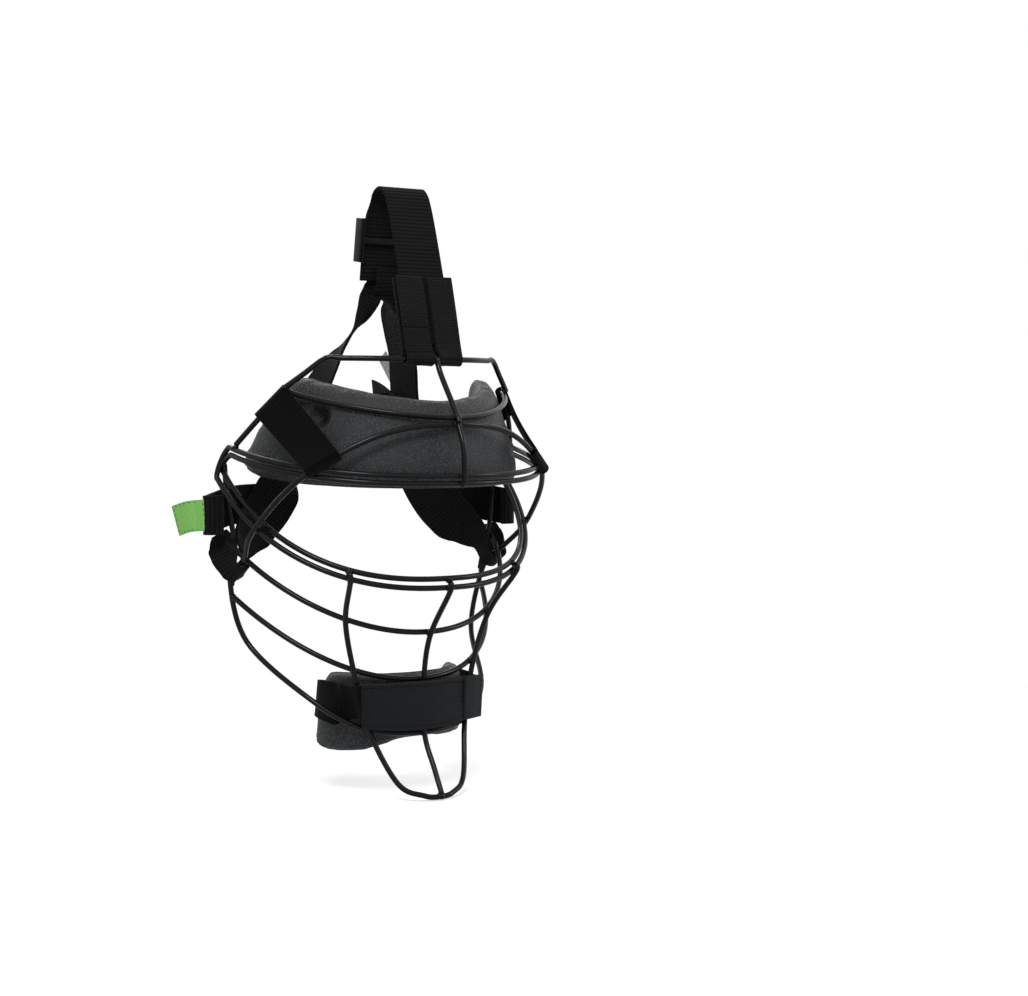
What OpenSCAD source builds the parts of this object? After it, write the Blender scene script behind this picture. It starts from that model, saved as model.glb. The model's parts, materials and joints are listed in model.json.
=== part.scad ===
// Wire face guard worn without a helmet: a welded cage of coated wire, two pads and a webbing harness.
// Millimetres. The origin is the middle of the wearer's head, level with the temples.
// +Z is up, the guard faces -Y, and +X is the wearer's left.

/* [Wire] */
// Diameter of the coated wire
wire_d = 3.4; // [2.8:0.1:4.2]
// How deep a weld sinks one wire into the other
weld_bite = 0.5; // [0.3:0.1:0.8]
// Open gap between the two wires of the brow pair
brow_gap = 1.2; // [0.6:0.1:3]

/* [Brow] */
// Half width of the brow wires, at the temples
brow_half_w = 102; // [95:1:108]
// Reach of the brow wires ahead of the origin
brow_reach = 103; // [95:1:112]
// Place of the brow wires' ends, along Y
brow_end_y = -4; // [-9:1:2]
// Height of the upper brow wire at the front
brow_z = -6.5; // [-12:0.5:0]
// Rise of the brow wires from the front to the temples
brow_rise = 16.5; // [8:0.5:24]

/* [Eye opening] */
// Half width of the outer eye wire
eye_half_w = 106; // [98:1:112]
// Reach of the outer eye wire
eye_reach = 88.5; // [80:0.5:98]
// Height of the outer eye wire at the front
eye_z = -74; // [-82:0.5:-66]
// Height of the outer eye wire at the temples
eye_end_z = -9.5; // [-14:0.5:-4]
// Open gap between the two eye wires at the front
eye_gap = 2.1; // [1:0.1:6]
// How far the inner eye wire ends inside the outer one, at the temples
eye_inset = 4.5; // [3:0.5:8]
// Rearward bulge of the temple bends
temple_bend = 5; // [3:0.5:8]

/* [Nose and mouth] */
// Half width of the nose bar's ellipse
nose_half_w = 101; // [94:1:108]
// Reach of the nose bar
nose_reach = 66.5; // [58:0.5:76]
// Height of the nose bar at the front
nose_z = -102.5; // [-108:0.5:-97]
// Half width of the mouth bar's ellipse
mouth_half_w = 105.5; // [98:0.5:112]
// Reach of the mouth bar
mouth_reach = 58.5; // [50:0.5:68]
// Height of the mouth bar at the front
mouth_z = -132; // [-138:0.5:-126]

/* [Forehead] */
// Half width of the forehead ring
ring_half_w = 81; // [75:0.5:87]
// Reach of the forehead ring
ring_reach = 96; // [88:0.5:104]
// Height of the forehead ring at the front
ring_z = 28; // [22:0.5:36]
// Height of the forehead ring at its sides
ring_end_z = 46; // [38:0.5:54]
// Reach of the top bar at its middle
bar_reach = 73.5; // [66:0.5:80]
// Height of the top bar
bar_z = 63.2; // [56:0.2:74]
// Half width of the top bar between its corners
bar_half_w = 61; // [52:0.5:70]

/* [Outer frame] */
// Height of the forehead arch in the middle
arch_z = 24; // [18:0.5:26]
// Height of the jaw bends
jaw_z = -70; // [-78:1:-64]
// Half width of the cage at the jaw bends
jaw_half_w = 95; // [88:0.5:101]
// Place of the jaw bends along Y
jaw_y = 10; // [4:0.5:16]
// Height of the frame under the chin
chin_z = -165; // [-172:0.5:-158]
// Reach of the frame under the chin
chin_reach = 59; // [52:0.5:66]
// Height of the throat loop's lowest point
throat_z = -202; // [-216:1:-190]
// Reach of the throat loop's lowest point
throat_reach = 79; // [70:0.5:90]
// Half width of the throat loop
throat_half_w = 24; // [18:0.5:32]
// Place of each side bar across the eye wires
bar_eye_x = 59; // [50:0.5:68]
// Place of each side bar across the chin
bar_chin_x = 36; // [30:0.5:44]

/* [Pads] */
// Thickness of the forehead pad
pad_t = 19; // [14:0.5:21]
// Height of the forehead pad in the middle
pad_h = 54; // [48:1:58]
// Thickness of the chin pad
chin_pad_t = 16; // [10:0.5:18]
// Half width of the chin pad
chin_pad_half_w = 46; // [42:0.5:49]

/* [Webbing] */
// Width of the webbing
web_w = 32; // [25:0.5:36]
// Thickness of the webbing
web_t = 1.8; // [1.2:0.1:2.4]
// Width of the elastic pad sleeves
sleeve_w = 26; // [18:0.5:28]
// Height of the chin sleeve
wrap_h = 27; // [22:0.5:28]
// Width of each front tab of the top strap
tab_w = 17; // [12:0.5:18]
// Height of the front tabs above the top bar
tab_h = 50; // [36:1:60]
// Height of the top strap's crest
strap_top_z = 169; // [150:1:190]

/* [Hidden] */

wire_r = wire_d / 2;
sides = 8;
lift = wire_d - weld_bite;
gap = 0.3;
web_gap = wire_r + gap + web_t / 2;
coat = "#1b1b1d";
leather = "#2a2a2c";
webbing = "#161617";
tag_green = "#7cc043";
label_white = "#e9e9e6";
buckle_grey = "#5a5b5e";

// Vector helpers
function unit(v) = v / norm(v);
function mix(a, b, f) = a + (b - a) * f;
function flip(p) = [-p.x, p.y, p.z];
function outward(p) = unit([p.x, p.y - 30, 0]);

// The point past the end b of a curve: the mirror of its neighbour a where b is in the middle plane
function past(a, b) = b.x == 0 && a.x != 0 ? flip(a) : 2 * b - a;

// A smooth curve through the points p, with n steps from each to the next
function curve(p, n) = concat(
  [for (i = [0:len(p) - 2], j = [0:n - 1])
    let (a = i > 0 ? p[i - 1] : past(p[1], p[0]), b = p[i], c = p[i + 1],
         d = i + 2 < len(p) ? p[i + 2] : past(p[i], p[i + 1]), t = j / n)
    0.5 * (2 * b + (c - a) * t + (2 * a - 5 * b + 4 * c - d) * t * t + (3 * b - a - 3 * c + d) * t * t * t)],
  [p[len(p) - 1]]);

// The whole of a wire that is alike on both sides, from its half, which starts in the middle
function both(h) = concat([for (i = [len(h) - 1:-1:1]) flip(h[i])], h);

// A hoop is half width, front y, end y, front z, end z, fullness and lift of its ends
function hoop_at(h, t) =
  let (s = pow(abs(sin(t)), 2 / h[5]) * sign(t), u = 1 - pow(max(cos(t), 0), 2 / h[5]))
  [h[0] * s, mix(h[1], h[2], u), mix(h[3], h[4], pow(u, h[6]))];
function hoop_turn(h, x) = sign(x) * asin(pow(min(abs(x) / h[0], 1), h[5] / 2));
function hoop_run(h, from, to, n) = [for (i = [0:n]) hoop_at(h, mix(from, to, i / n))];
function along_hoop(h, t) = unit(hoop_at(h, t + 0.5) - hoop_at(h, t - 0.5));

// The place of a wire that crosses hoop h at turn t in the direction dir, d outside the hoop
function across(h, t, dir, d) =
  let (p = hoop_at(h, t), n = unit(cross(along_hoop(h, t), dir)))
  p + n * (n * outward(p) < 0 ? -d : d);

// A skin over rings of points, open or closed on itself
module skin(rings, closed = false) {
  m = len(rings[0]);
  k = len(rings);
  last = closed ? k - 1 : k - 2;
  walls = [for (i = [0:last], j = [0:m - 1])
    let (a = i * m + j, b = ((i + 1) % k) * m + j, c = ((i + 1) % k) * m + (j + 1) % m,
         d = i * m + (j + 1) % m)
    each [[a, b, c], [a, c, d]]];
  caps = closed ? [] : [[for (j = [0:m - 1]) j], [for (j = [m - 1:-1:0]) (k - 1) * m + j]];
  polyhedron([for (r = rings) each r], concat(walls, caps), convexity = 8);
}

// A round wire along a path, with its ends eased. away is a point inside the cage
module wire(path, closed = false, away = [0, 20, -40]) {
  k = len(path);
  ends = closed ? path : concat(
    [path[0], path[0] + unit(path[1] - path[0]) * wire_r * 0.5], [for (i = [1:k - 2]) path[i]],
    [path[k - 1] + unit(path[k - 2] - path[k - 1]) * wire_r * 0.5, path[k - 1]]);
  n = len(ends);
  skin([for (i = [0:n - 1])
    let (before = closed ? ends[(i + n - 1) % n] : ends[max(i - 1, 0)],
         after = closed ? ends[(i + 1) % n] : ends[min(i + 1, n - 1)],
         t = unit(after - before), v = ends[i] - away, a = unit(v - (v * t) * t), b = cross(t, a),
         r = !closed && (i == 0 || i == n - 1) ? wire_r * 0.6 : wire_r)
    [for (j = [0:sides - 1]) ends[i] + r * (a * cos(j * 360 / sides) + b * sin(j * 360 / sides))]],
    closed);
}

// A flat strap along stations of place, width direction and, where it narrows, width
module ribbon(stations, w, t) {
  k = len(stations);
  skin([for (i = [0:k - 1])
    let (before = stations[max(i - 1, 0)][0], after = stations[min(i + 1, k - 1)][0],
         d = unit(after - before), n = unit(cross(d, stations[i][1])), a = cross(n, d),
         p = stations[i][0], x = a * (is_undef(stations[i][2]) ? w : stations[i][2]) / 2, y = n * t / 2)
    [p + x + y, p - x + y, p - x - y, p + x - y]]);
}
function eased(stations, n) =
  let (p = curve([for (s = stations) s[0]], n), a = curve([for (s = stations) s[1]], n))
  [for (i = [0:len(p) - 1]) [p[i], unit(a[i])]];

// Hoops of the cage
brow_pitch = wire_d + brow_gap;
brow = [brow_half_w, -brow_reach, brow_end_y, brow_z, brow_z + brow_rise, 2.15, 1.25];
brow_low = [brow_half_w, -brow_reach, brow_end_y - 2, brow_z - brow_pitch, brow_z - brow_pitch + brow_rise,
  2.15, 1.25];
eye_out = [eye_half_w, -eye_reach, 4, eye_z, eye_end_z, 1.95, 1.3];
eye_in = [eye_half_w - eye_inset, -eye_reach + 0.5, 6, eye_z + wire_d + eye_gap, eye_end_z + 5, 2, 1.35];
nose = [nose_half_w, -nose_reach, 32, nose_z, nose_z + 74, 2.05, 1];
mouth = [mouth_half_w, -mouth_reach, 84, mouth_z, mouth_z + 103.5, 2.13, 1];
ring = [ring_half_w, -ring_reach, -25, ring_z, ring_end_z, 1.5, 1.15];
nose_end = 76;
mouth_end = 60;
ring_end = 80;
brow_cross = hoop_turn(brow_low, 84.5);
eye_cross = hoop_turn(eye_out, 98);
nose_cross = 67;

// Outer frame: forehead arch, diagonals, jaw bends and the sweep under the chin
arch_mid = [0, -ring_reach - 0.4, arch_z];
arch_side = [47, -88, 18];
jaw = [jaw_half_w, jaw_y, jaw_z];
jaw_low = [84, 9.5, -110];
chin_side = [63.5, -32, -142.5];
chin_cross = [bar_chin_x + 1.5, -chin_reach + 8, chin_z + 4.5];
chin_mid = [0, -chin_reach, chin_z];
diagonal = hoop_at(eye_out, eye_cross) - hoop_at(brow_low, brow_cross);
frame_half = [arch_mid, arch_side, across(brow_low, brow_cross, diagonal, lift),
  across(eye_out, eye_cross, diagonal, lift), across(nose, nose_cross, diagonal, lift), jaw, jaw_low,
  chin_side, chin_cross, chin_mid];

// Forehead ring with its struts, and the top bar on it
ring_foot = hoop_at(ring, ring_end);
strut_foot = hoop_at(brow, 86) + [0, 2, lift];
strut_mid = mix(ring_foot, strut_foot, 0.5) + outward(ring_foot) * 1.5;
bar_corner = [bar_half_w, -bar_reach + 25, bar_z + 0.5];
bar_mid = [0, -bar_reach, bar_z];
bar_foot = ring_foot + outward(ring_foot) * lift * 0.7 + [0, -1, 2];
strut_line = curve([ring_foot, strut_mid, strut_foot], 4);
bar_line = curve([bar_mid, [bar_half_w / 2, -bar_reach + 6.2, bar_z + 0.2], bar_corner], 4);

// Modules of the cage
module loop_of(top, low) {
  run = 36;
  bend = 8;
  a = hoop_at(top, 90);
  b = hoop_at(low, 90);
  mid = (a + b) / 2;
  turn = [for (i = [1:bend - 1])
    let (f = i * 180 / bend) mid + (a - mid) * cos(f) + [0, temple_bend * sin(f), 0]];
  color(coat) wire(concat(hoop_run(top, -90, 90, run), turn, hoop_run(low, 90, -90, run),
    [for (i = [len(turn) - 1:-1:0]) flip(turn[i])]), closed = true);
}
module visor_loop_outer() { loop_of(brow, eye_out); }
module visor_loop_inner() { loop_of(brow_low, eye_in); }
module outer_frame() {
  half = curve(frame_half, 4);
  color(coat) wire([for (i = [1:2 * len(half) - 2]) both(half)[i]], closed = true);
}
module forehead_ring() {
  half = concat(hoop_run(ring, 0, ring_end, 14), [for (i = [1:len(strut_line) - 1]) strut_line[i]]);
  color(coat) wire(both(half));
}
module top_bar() {
  color(coat) wire(both(concat(bar_line, [mix(bar_corner, bar_foot, 0.5), bar_foot])));
}
crown = [[0, -bar_reach - lift, bar_z + 1], [0, -bar_reach - 7, bar_z - 9],
  [0, -ring_reach - lift, ring_z], [0, -ring_reach - 0.4 - lift, arch_z],
  [0, -brow_reach - lift + 0.8, arch_z - 14], [0, -brow_reach - lift, brow_z],
  [0, -brow_reach - lift, brow_z - brow_pitch - 1]];
module crown_wire() { color(coat) wire(curve(crown, 3)); }
module nose_bar() { color(coat) wire(hoop_run(nose, -nose_end, nose_end, 36)); }
module mouth_bar() { color(coat) wire(hoop_run(mouth, -mouth_end, mouth_end, 36)); }

function bar_cross(h, x, dir) = across(h, hoop_turn(h, x), dir, lift);
bar_top = hoop_at(eye_in, hoop_turn(eye_in, bar_eye_x));
bar_dir = unit(chin_cross - bar_top);
side_bar = [bar_cross(eye_in, bar_eye_x, bar_dir), bar_cross(eye_out, bar_eye_x - 0.5, bar_dir),
  bar_cross(nose, bar_eye_x - 8, bar_dir), bar_cross(mouth, bar_eye_x - 16.5, [-0.2, 0, -1]),
  chin_cross + [-2, -lift, 0], [throat_half_w, -throat_reach + 10, throat_z + 9],
  [throat_half_w * 0.45, -throat_reach + 1.5, throat_z + 1.5], [0, -throat_reach, throat_z]];
module throat_bar() {
  half = curve(side_bar, 4);
  color(coat) wire(both([for (i = [len(half) - 1:-1:0]) half[i]]), away = [0, 0, -120]);
}
middle = [0, 1, -1];
mid_bar = [across(eye_in, 0, middle, lift), across(eye_out, 0, middle, lift), across(nose, 0, middle, lift),
  across(mouth, 0, [0, 0.2, -1], lift), chin_mid + [0, -lift, 0], [0, -throat_reach + 6, throat_z + 16],
  [0, -throat_reach - lift * 0.8, throat_z + 1.5]];
module centre_bar() { color(coat) wire(curve(mid_bar, 4), away = [0, 0, -120]); }

upright_top = (hoop_at(brow, 90) + hoop_at(eye_out, 90)) / 2 + [-lift, temple_bend, 0];
upright_nose = hoop_at(nose, nose_end - 2) + [-lift * 0.9, 0.5, 0];
upright_low = jaw + [-lift * 0.95, 1, -3];
upright = [upright_top, mix(upright_top, upright_nose, 0.45) + [0.5, 1, 0], upright_nose,
  mix(upright_nose, upright_low, 0.55) + [0, 1, 0], upright_low];
module upright_left() { color(coat) wire(curve(upright, 3)); }
module upright_right() { color(coat) mirror([1, 0, 0]) wire(curve(upright, 3)); }

// A cushion between a lower and an upper guide hoop, with crowned faces and drawn-in ends
module cushion(low, high, t, turns, steps, around, blunt) {
  skin([for (i = [0:steps])
    let (f = 2 * i / steps - 1, turn = f * turns, a = hoop_at(low, turn), b = hoop_at(high, turn),
         e = pow(1 - pow(min(abs(f), 0.985), blunt), 1 / blunt),
         d = along_hoop(low, turn), up = (b - a) / 2, in = unit(cross(up, d)), c = (a + b) / 2)
    [for (j = [0:around - 1])
      let (q = j * 360 / around, x = pow(abs(cos(q)), 0.72) * sign(cos(q)),
           y = pow(abs(sin(q)), 0.62) * sign(sin(q)))
      c + in * (x * e * t / 2) + up * (y * (0.55 + 0.45 * e))]]);
}
pad_seat = wire_r + gap + pad_t / 2;
pad_low = [brow_half_w - 15, -brow_reach + pad_seat + 1.2, 12, brow_z - 8.5, -8, 2.2, 1.2];
pad_high = [mix(pad_low[0], ring_half_w - 12.4, 1.25), mix(pad_low[1], -ring_reach + pad_seat + 3.3, 1.25), -22,
  brow_z - 8.5 + pad_h, ring_end_z + 11, 1.6, 1.1];
module forehead_pad() { color(leather) cushion(pad_low, pad_high, pad_t, 90, 44, 20, 6); }

chin_seat = wire_r + gap + chin_pad_t / 2 - 0.5;
chin_low = [chin_pad_half_w, -chin_reach + chin_seat, -8, chin_z - 5, chin_z - 12, 2.4, 1];
chin_high = [chin_pad_half_w - 4, -chin_reach + chin_seat, -19, chin_z + 37, chin_z + 42, 2.4, 1];
module chin_pad() { color(leather) cushion(chin_low, chin_high, chin_pad_t, 90, 30, 16, 3.6); }

// Pad sleeve: an elastic band from the strut to the outer frame, turned round both wires
frame_line = curve(frame_half, 8);
strut_grip = strut_line[4];
strut_dir = unit(strut_line[5] - strut_line[3]);
frame_grip = frame_line[12];
frame_dir = unit(frame_line[13] - frame_line[11]);
sleeve_run = unit(strut_grip - frame_grip);
sleeve_out = unit(cross(strut_dir, sleeve_run));
sleeve_gap = web_gap + 1;
function turn_round(p, out, run, along, w) =
  [for (a = [0:45:180]) [p + sleeve_gap * (out * cos(a) + run * sin(a)), along, w]];
function sleeve_line() =
  let (o = sleeve_out * outward(strut_grip) < 0 ? -sleeve_out : sleeve_out, thin = sleeve_w * 0.62,
       back = turn_round(strut_grip, o, sleeve_run, strut_dir, sleeve_w),
       front = turn_round(frame_grip, o, -sleeve_run, frame_dir, thin),
       n = 8)
  concat([for (i = [len(front) - 1:-1:0]) front[i]],
    [for (i = [1:n - 1]) let (f = i / n)
      [mix(front[0][0], back[0][0], f) + o * 2 * sin(f * 180), unit(mix(frame_dir, strut_dir, f)),
       mix(thin, sleeve_w, min(1, f * 1.5))]],
    back);
module pad_sleeve_left() { color(webbing) ribbon(sleeve_line(), sleeve_w, web_t); }
module pad_sleeve_right() { mirror([1, 0, 0]) pad_sleeve_left(); }

// Chin sleeve: a plain panel in front of the bars, and elastic inside the outer frame to the pad's ends
wrap_z = chin_z + 19;
wrap_seat = wire_r + gap + web_t / 2;
wrap_front = -chin_reach - lift - wrap_seat - 0.3;
wrap_lean = [0.24, 0, 1];
wrap_half = [[[0, wrap_front, wrap_z], [0, 0, 1], wrap_h], [[20, wrap_front + 2, wrap_z], [0.05, 0, 1], wrap_h],
  [[33, wrap_front + 6.2, wrap_z], [0.15, 0, 1], wrap_h],
  [[bar_chin_x + 4.8, wrap_front + 9.3, wrap_z + 1.5], wrap_lean, wrap_h - 4],
  [[bar_chin_x + 7.2, wrap_front + 16, wrap_z + 2], wrap_lean, wrap_h - 6],
  [[bar_chin_x + 10.5, wrap_front + 22.5, wrap_z + 1], [0.1, 0, 1], wrap_h - 4],
  [[54, wrap_front + 31.5, wrap_z], [0, 0, 1], wrap_h], [[57, wrap_front + 42, wrap_z], [0, 0, 1], wrap_h]];
function flip_station(q) = [flip(q[0]), flip(q[1]), q[2]];
module chin_sleeve() {
  half = widths(wrap_half, 3);
  color(webbing)
    ribbon(concat([for (i = [len(half) - 1:-1:1]) flip_station(half[i])], half), wrap_h, web_t);
}
flap_root = [27, wrap_front + 2.2 - web_t - gap, wrap_z];
module sleeve_flap() {
  line = curve([flap_root, flap_root + [9, 3, 0], flap_root + [19, 7.5, 0]], 2);
  color(webbing) ribbon([for (p = line) [p, [0.15, 0, 1]]], wrap_h, web_t);
}

// Top strap: up from the front tabs, over the crest and straight down through the slider
across_x = [1, 0, 0];
strap_foot = [0, -bar_reach + 3.5, bar_z + 9];
run_top = [-2, -22.5, strap_top_z - 18];
run_low = [-2, -17, 113];
strap_half_gap = web_t + gap;
strap_line = concat(
  [for (p = curve([strap_foot, [0, -60, bar_z + 49], [0, -45, strap_top_z - 9], [0, -35, strap_top_z],
    [0, -26, strap_top_z - 7], run_top], 5)) [p, across_x]],
  [[mix(run_top, run_low, 0.5), across_x], [run_low, across_x]]);
module top_strap() { color(webbing) ribbon(strap_line, web_w, web_t); }

// A front tab: one length of webbing round the top bar, with the strap between its two layers
function on_bar(x) = let (u = abs(x))
  [x, lookup(u, [for (p = bar_line) [p.x, p.y]]), lookup(u, [for (p = bar_line) [p.x, p.z]])];
function tab_line(x) =
  let (c = on_bar(x), along = unit(on_bar(x + 6) - on_bar(x - 6)),
       low = strap_foot + [x, 0, 0], high = [x, -60, bar_z + tab_h],
       n = unit(cross(across_x, high - low)), d = unit(high - low), o = n.y > 0 ? -n : n,
       off = strap_half_gap)
  [for (q = concat([[high + o * off, across_x], [mix(high, low, 0.5) + o * off * 1.1, across_x],
      [low + o * off, across_x]],
    [for (a = [0:45:180]) [c + (web_gap + 0.3) * (o * cos(a) - d * sin(a)), along]],
    [[low - o * off, across_x], [mix(high, low, 0.5) - o * off * 1.1, across_x],
      [high - o * off, across_x]])) q];
tab_x = tab_w / 2 + wire_r + 0.6;
module strap_tab_left() { color(webbing) ribbon(tab_line(tab_x), tab_w, web_t); }
module strap_tab_right() { color(webbing) ribbon(tab_line(-tab_x), tab_w, web_t); }

// Slider buckle: two rails, two bars behind the strap and one in front of it
buckle_h = 27;
buckle_t = 2.4;
module slider_buckle() {
  d = unit(run_low - run_top);
  tilt = atan2(d.y, -d.z);
  at = mix(run_top, run_low, 0.35);
  bar = 3.4;
  rail_x = web_w / 2 + gap + bar / 2;
  behind = web_t / 2 + gap + buckle_t / 2;
  color(buckle_grey) translate(at) rotate([tilt, 0, 0]) {
    for (s = [-1, 1]) {
      translate([s * rail_x, 0, 0]) cube([bar, 2 * behind + buckle_t, buckle_h], center = true);
      translate([0, behind, s * (buckle_h - bar) / 2])
        cube([2 * rail_x, buckle_t, bar], center = true);
    }
    translate([0, -behind, 0]) cube([2 * rail_x, buckle_t, bar], center = true);
  }
}

// Side straps: from the top strap down behind the pad to a loop round the outer frame above the jaw
strap_left = [
  [[3, -20.7, 121], [1, 0, 0], 20],
  [[3.2, -19.6, 113], [1, 0.03, 0], 20],
  [[4, -18.2, 104], [0.6, 0.8, 0.1], 22],
  [[8.3, -12.5, 92], [0.05, 0.95, 0.3], 26],
  [[16, -7, 78], [0, 0.97, 0.25], 30],
  [[23.2, -2, 64], [0, 1, 0.2], 32],
  [[29, 4.5, 40], [0, 1, 0.1], 32],
  [[38, 10, 10], [-0.14, 0.95, 0.02], 32],
  [[54, 16, -16], [-0.65, 0.45, -0.45], 32]];
strap_right = [
  [[3, -15.4, 118.5], [-1, 0.03, 0], 15],
  [[4.5, -14.5, 111.5], [-1, 0.1, 0], 14],
  [[8.5, -13.4, 102], [-0.75, 0.65, 0], 14],
  [[14, -12, 90], [-0.6, 0.8, 0], 14],
  [[23, -4, 71], [-0.55, 0.83, 0.1], 18],
  [[30, 7, 54], [-0.3, 0.95, 0.1], 26],
  [[37, 14, 36], [0, 1, 0.1], 30],
  [[46, 19, 10], [-0.14, 0.95, 0.02], 32],
  [[56, 17.5, -16], [-0.65, 0.45, -0.45], 32]];
loop_w = 12;
loop_from = across(nose, nose_cross, diagonal, lift);
loop_mid = mix(loop_from, jaw, 0.45);
loop_dir = unit([0, jaw.y - loop_from.y, jaw.z - loop_from.z]);
loop_up = [0, -loop_dir.z, loop_dir.y];
loop_side = wire_r + gap + web_t / 2 + 3;
jaw_loop = concat([[[70, 17, -36], [-0.65, 0.55, -0.55], 30], [[81.5, 12.5, -45], [-0.4, 0.8, -0.45], 20]],
  [for (q = [[-1, 12], [-1, 1], [-0.7, -2.8], [0, -4.2], [0.7, -2.8], [1, 1], [1, 11], [0.95, 17]])
    [loop_mid + [q.x * loop_side, 0, 0] + loop_up * q.y, loop_dir, loop_w]]);
function widths(stations, n) = let (w = curve([for (s = stations) [s[2], 0, 0]], n), e = eased(stations, n))
  [for (i = [0:len(e) - 1]) [e[i][0], e[i][1], w[i].x]];
rows_left = widths(concat(strap_left, jaw_loop), 3);
rows_right = widths(concat(strap_right, jaw_loop), 3);
module side_strap_left() { color(webbing) ribbon(rows_left, web_w, web_t); }
module side_strap_right() { mirror([1, 0, 0]) color(webbing) ribbon(rows_right, web_w, web_t); }

// A place on a strap, by row, v across it and out from its middle, and the strap's direction there
function strap_way(rows, i) = unit(rows[i + 1][0] - rows[i - 1][0]);
function strap_place(rows, i, v, out) =
  let (d = strap_way(rows, i), n = unit(cross(d, rows[i][1]))) rows[i][0] + cross(n, d) * v + n * out;

// Rear band behind the head, its hook tab, and the free strap ends with their pull tags
band_row = 19;
band_seat = web_t + gap + 0.7;
module rear_band() {
  up_left = -strap_way(rows_left, band_row);
  up_right = -strap_way(rows_right, band_row);
  line = concat(
    [for (v = [-3, 6, 14]) [flip(strap_place(rows_right, band_row, v, -band_seat - 0.5)), flip(up_right)]],
    [[[-27, 36, 27], [-0.05, 0, 1]], [[0, 40, 28], [0, 0, 1]], [[15, 34, 27], [-0.2, 0, 1]]],
    [for (v = [16, 8, -1]) [strap_place(rows_left, band_row, v, -band_seat - 0.5), up_left]]);
  color(webbing) ribbon(eased(line, 3), web_w * 0.8, web_t);
}
tab_up = -strap_way(rows_left, band_row);
tab_root = strap_place(rows_left, band_row, web_w / 2 + 1.8, 0.1);
module hook_tab() {
  color(webbing) ribbon([for (q = [[0, 0, 0], [0.9, 8, 3], [1.6, 16, 5.5], [1.6, 24, 7.5]]) [tab_root + q, tab_up]],
    26, web_t);
}
end_top = jaw_z + 39;
strap_end_line = eased([[[65.5, 21.8, end_top + 6], [-0.2, 0, 1]], [[86, 21, end_top + 5], [-0.15, 0, 1]],
  [[101, 15, end_top + 2], [-0.1, 0, 1]], [[110, 10, end_top], [0, 0, 1]], [[114, 5, end_top], [0, 0, 1]],
  [[110, 1, end_top], [0, 0, 1]], [[103.5, 2, end_top], [0, 0, 1]]], 3);
module strap_end_left() { color(webbing) ribbon(strap_end_line, 24, web_t); }
module strap_end_right() { mirror([1, 0, 0]) strap_end_left(); }
tag_line = [[[115.8, 6, end_top], [0, 0, 1]], [[121, 14, end_top - 1], [0, 0, 1]],
  [[124, 25, end_top - 4], [0.1, 0, 1]]];
module pull_tag_left() { color(tag_green) ribbon(tag_line, 19, 1); }
module pull_tag_right() { mirror([1, 0, 0]) pull_tag_left(); }
module care_label() {
  root = strap_place(rows_left, band_row - 1, 4, web_t / 2 + gap + 1.2);
  slope = [0, 0.77, -0.63];
  color(label_white) ribbon([[root, slope], [root + [-1.6, 10, 12], slope], [root + [-3.6, 21, 27], slope]], 10, 0.8);
}

visor_loop_outer();
visor_loop_inner();
outer_frame();
forehead_ring();
top_bar();
crown_wire();
nose_bar();
mouth_bar();
centre_bar();
throat_bar();
upright_left();
upright_right();
forehead_pad();
pad_sleeve_left();
pad_sleeve_right();
chin_pad();
chin_sleeve();
sleeve_flap();
strap_tab_left();
strap_tab_right();
top_strap();
slider_buckle();
side_strap_left();
side_strap_right();
rear_band();
hook_tab();
strap_end_left();
strap_end_right();
pull_tag_left();
pull_tag_right();
care_label();
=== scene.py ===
"""Looks of a wire face guard: coated wire cage, two padded cushions and a webbing harness.

Everything is in metres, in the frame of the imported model. Each wire and strap is rebuilt, rounder and
finer, along the line of the solid that it stands for.
"""
import json
import math
import bmesh
import bpy
from mathutils import Matrix, Vector
from mathutils.bvhtree import BVHTree

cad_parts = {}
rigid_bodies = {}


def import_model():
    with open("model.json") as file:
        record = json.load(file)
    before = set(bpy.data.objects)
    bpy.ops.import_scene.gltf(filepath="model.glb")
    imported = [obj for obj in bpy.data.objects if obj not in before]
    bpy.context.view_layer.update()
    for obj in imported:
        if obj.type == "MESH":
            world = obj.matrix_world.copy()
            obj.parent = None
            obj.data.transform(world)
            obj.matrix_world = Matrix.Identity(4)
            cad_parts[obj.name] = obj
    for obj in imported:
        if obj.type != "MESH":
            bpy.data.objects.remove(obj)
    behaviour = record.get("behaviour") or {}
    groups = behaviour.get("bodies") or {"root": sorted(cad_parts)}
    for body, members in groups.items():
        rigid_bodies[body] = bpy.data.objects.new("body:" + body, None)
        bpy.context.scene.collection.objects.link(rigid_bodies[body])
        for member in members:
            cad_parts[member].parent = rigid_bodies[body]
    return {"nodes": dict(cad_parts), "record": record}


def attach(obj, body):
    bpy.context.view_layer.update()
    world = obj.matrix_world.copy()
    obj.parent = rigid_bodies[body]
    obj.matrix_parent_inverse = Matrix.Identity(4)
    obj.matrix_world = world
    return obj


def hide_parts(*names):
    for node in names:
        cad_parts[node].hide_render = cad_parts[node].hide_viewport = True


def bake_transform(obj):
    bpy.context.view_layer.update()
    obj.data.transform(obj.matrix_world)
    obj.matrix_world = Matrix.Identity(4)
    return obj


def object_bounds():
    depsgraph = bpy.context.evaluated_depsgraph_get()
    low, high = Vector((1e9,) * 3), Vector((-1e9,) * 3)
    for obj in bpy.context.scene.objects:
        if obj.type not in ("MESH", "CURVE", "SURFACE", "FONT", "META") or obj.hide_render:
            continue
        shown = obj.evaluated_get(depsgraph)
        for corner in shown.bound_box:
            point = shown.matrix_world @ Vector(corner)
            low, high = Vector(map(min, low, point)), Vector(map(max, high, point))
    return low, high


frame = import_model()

solid_low, solid_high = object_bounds()
for extra in [o for o in bpy.data.objects if o.name in ("Cube", "Light", "Camera")]:
    bpy.data.objects.remove(extra)
MM = 0.001
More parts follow.
